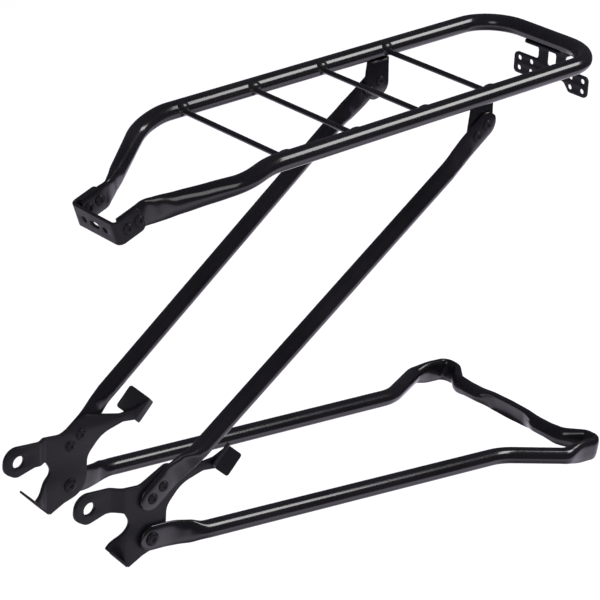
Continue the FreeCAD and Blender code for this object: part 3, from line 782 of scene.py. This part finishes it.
stand = stand_route()
foot_start = stand.nearest(on_stand(482, 103))
foot_flat = stand.nearest(on_stand(513, FOOT_Y))
fold_mid = stand.nearest(on_stand(TIP_U, (FOOT_Y + FOLD_Y) / 2))
bend_in = stand.nearest(on_stand(BAR_U, 68))
bar_round = stand.nearest(on_stand(BAR_U, 52))
half_length = stand.length / 2
STAND_KEYS = [(0, 2.0, 12.0, 3.0, 0.0, 0.0), (34, 2.0, 12.0, 2.8, 0.05, 0.0),
              (50, 4.0, 11.0, 2.4, 0.10, 0.0), (66, 8.0, 8.0, 2.0, 0.0, 0.0),
              (foot_start, 8.0, 8.0, 2.0, 0.0, 0.0), (foot_flat, 4.2, 11.9, 2.6, 0.10, 0.0),
              (fold_mid, 4.2, 11.8, 2.6, 0.10, 0.0), (bend_in, 5.8, 9.4, 2.2, 0.0, 0.0),
              (bar_round, 8.0, 8.0, 2.0, 0.0, 0.0),
              (half_length - 42, 8.0, 8.0, 2.0, 0.0, 0.0), (half_length - 18, 7.8, 10.0, 2.0, 0.0, 9.0),
              (half_length, 7.8, 10.4, 2.0, 0.0, 9.6)]

stand_rings = []
for s in stations(stand.length, 2.0, END_ROUND):
    end = min(s, stand.length - s)
    width, height, square, waist, dent = blend_between(STAND_KEYS, end)
    if end < END_ROUND:
        height = tongue(end, END_ROUND)
    stand_rings.append(ring(stand.at(s), stand.along(s), STAND_UP,
                            (width, height, square, waist, dent), TUBE_FACETS))
stand_mesh = drilled("stand_tube", skin("stand_tube", stand_rings),
                     [(PIVOT.x, side * EYE_Y, PIVOT.z, PIVOT_HOLE_R, 12) for side in (-1, 1)])
new_object("stand_tube", stand_mesh, GLOSS, "stand", ("stand",))

for side_name, side in SIDES.items():
    label = "stand_pivot_" + side_name
    pin = rivet("pin", (PIVOT.x, PIVOT.z), side, PLATE_MID - 2, EYE_Y + 2.3, 4.0, 6.5)
    new_object(label + "_pin", pin, SATIN, "carrier", (label,))

# ---------------------------------------------------------------- lamp bracket
LAMP_X, LAMP_GAUGE = 592.5, 2.5
LAMP_BEND = 2.4
lamp_arc = LAMP_BEND * math.pi / 2
LAMP_TOP = RAIL_Z - TUBE_R - LAMP_GAUGE / 2 - LAMP_BEND
FLANGE_END = LAMP_TOP + lamp_arc + 15.5
# One half of the outline, from the web's low edge to the flange; the other half mirrors it.
LAMP_HALF = [(17, 227.5, 6), (24, 219, 4), (46.5, 219, 4.5), (46.5, 240, 4.5), (16.5, 240, 4),
             (16.5, 252, 5), (22, 254, 1.5), (22, FLANGE_END, 4)]
LAMP_OUTLINE = LAMP_HALF + [(-y, v, corner) for y, v, corner in reversed(LAMP_HALF)]


def on_lamp(y, v, w):
    """Upright plate that turns forwards under the rear tube."""
    if v <= LAMP_TOP:
        return LAMP_X + w, y, v
    angle = min(v - LAMP_TOP, lamp_arc) / LAMP_BEND
    x = LAMP_X - LAMP_BEND + (LAMP_BEND + w) * math.cos(angle)
    z = LAMP_TOP + (LAMP_BEND + w) * math.sin(angle)
    return x - max(v - LAMP_TOP - lamp_arc, 0), y, z


LAMP_HOLE_R = 2.6
lamp_holes = [circle_points(side * pitch, z, LAMP_HOLE_R, 32)
              for side in (-1, 1) for pitch in (40, 25) for z in (234.5, 224.5)]
window = corner_points([(-5.5, 237, 3), (5.5, 237, 3), (5.5, 252, 3), (-5.5, 252, 3)], 5)
lamp_mesh = sheet("lamp_plate", [corner_points(LAMP_OUTLINE, 8), window] + lamp_holes, LAMP_GAUGE,
                  0.5, on_lamp, steps(LAMP_TOP, LAMP_TOP + lamp_arc, 8), axis=1)
new_object("lamp_plate", lamp_mesh, SATIN, "carrier", ("lamp_bracket",))
lamp_run = Route([(581, -19, 261.6, 0), (581, 19, 261.6, 0)])
new_object("lamp_weld", run_bead("lamp_weld", lamp_run, 1.4, 1.0, UPRIGHT, 71), WELD,
           "carrier")

# ---------------------------------------------------------------- floor, lights and camera
# From here on, places and sizes are in metres.
FLOOR_REACH, FLOOR_LEVEL = 30.0, -0.62
floor_mesh = bpy.data.meshes.new("floor")
floor_mesh.from_pydata([(FLOOR_REACH * x, FLOOR_REACH * y, FLOOR_LEVEL)
                        for x, y in ((-1, -1), (1, -1), (1, 1), (-1, 1))], [], [(0, 1, 2, 3)])
floor = bpy.data.objects.new("floor", floor_mesh)
bpy.context.scene.collection.objects.link(floor)
floor_material, _, floor_shader = node_tree("pale_floor")
floor_shader.inputs["Base Color"].default_value = (0.94, 0.94, 0.94, 1)
floor_shader.inputs["Roughness"].default_value = 0.9
floor_shader.inputs["Specular IOR Level"].default_value = 0.1
floor_mesh.materials.append(floor_material)
floor.visible_glossy = False

# The studio is white to the eye and to the floor, but mirrors dark walls with a paler band low down.
MIRRORED_STRENGTH = 0.9
LOWEST_WALL, HIGHEST_WALL = (0.10, 0.09, 0.11, 1), (0.05, 0.05, 0.06, 1)
PALE_BAND = ((0.10, (0.40, 0.38, 0.45, 1)), (0.20, (0.92, 0.86, 1.0, 1)),
             (0.275, (0.75, 0.70, 0.84, 1)), (0.31, (0.05, 0.045, 0.06, 1)))
world = bpy.data.worlds.new("studio")
bpy.context.scene.world = world
world.use_nodes = True
sky = world.node_tree
white = sky.nodes["Background"]
white.inputs["Color"].default_value = (0.97, 0.96, 1.0, 1)
white.inputs["Strength"].default_value = 1.0
heading = sky.nodes.new("ShaderNodeSeparateXYZ")
sky.links.new(sky.nodes.new("ShaderNodeTexCoord").outputs["Generated"], heading.inputs["Vector"])
height = sky.nodes.new("ShaderNodeMapRange")
height.inputs["From Min"].default_value = -1.0
height.inputs["From Max"].default_value = 1.0
sky.links.new(heading.outputs["Z"], height.inputs["Value"])
walls = sky.nodes.new("ShaderNodeValToRGB")
elements = walls.color_ramp.elements
elements[0].position, elements[0].color = 0.0, LOWEST_WALL
elements[1].position, elements[1].color = 1.0, HIGHEST_WALL
for place, colour in PALE_BAND:
    elements.new(place).color = colour
sky.links.new(height.outputs["Result"], walls.inputs["Fac"])
mirrored_walls = sky.nodes.new("ShaderNodeBackground")
mirrored_walls.inputs["Strength"].default_value = MIRRORED_STRENGTH
sky.links.new(walls.outputs["Color"], mirrored_walls.inputs["Color"])
choice = sky.nodes.new("ShaderNodeMixShader")
sky.links.new(sky.nodes.new("ShaderNodeLightPath").outputs["Is Glossy Ray"], choice.inputs["Fac"])
sky.links.new(white.outputs["Background"], choice.inputs[1])
sky.links.new(mirrored_walls.outputs["Background"], choice.inputs[2])
sky.links.new(choice.outputs["Shader"], sky.nodes["World Output"].inputs["Surface"])


def softbox(name, place, target, width, height, power):
    """White rectangular area light that faces a target."""
    data = bpy.data.lights.new(name, "AREA")
    data.shape = "RECTANGLE"
    data.size, data.size_y = width, height
    data.energy = power
    lamp = bpy.data.objects.new(name, data)
    lamp.location = place
    lamp.rotation_mode = "QUATERNION"
    lamp.rotation_quaternion = (Vector(target) - Vector(place)).to_track_quat("-Z", "Y")
    bpy.context.scene.collection.objects.link(lamp)


softbox("strip_above", (2.66, -1.42, 2.2), (2.66, -0.05, 0.1), 1.34, 1.5, 43)
softbox("fill_left", (-1.8, -2.4, 1.2), (0.3, 0, 0.1), 1.2, 1.6, 12)

CAMERA_PLACE = (-1.0441, -1.3938, 1.0406)
CAMERA_LENS, SENSOR = 144, 36
azimuth, elevation, roll = (math.radians(a) for a in (-43.47, 26.39, 2.31))
flat_right = Vector((math.cos(azimuth), math.sin(azimuth), 0))
flat_up = Vector((-math.sin(azimuth) * math.sin(elevation), math.cos(azimuth) * math.sin(elevation),
                  math.cos(elevation)))
back = Vector((math.sin(azimuth) * math.cos(elevation), -math.cos(azimuth) * math.cos(elevation),
               math.sin(elevation)))
right = flat_right * math.cos(roll) + flat_up * math.sin(roll)
up = flat_up * math.cos(roll) - flat_right * math.sin(roll)
camera_data = bpy.data.cameras.new("camera")
camera_data.lens = CAMERA_LENS
camera_data.sensor_width = SENSOR
camera_data.clip_start, camera_data.clip_end = 0.1, 100
camera = bpy.data.objects.new("camera", camera_data)
turned_to_view = Matrix((right, up, back)).transposed().to_4x4()
camera.matrix_world = Matrix.Translation(CAMERA_PLACE) @ turned_to_view
bpy.context.scene.collection.objects.link(camera)
bpy.context.scene.camera = camera
bpy.context.scene.view_settings.view_transform = "Standard"
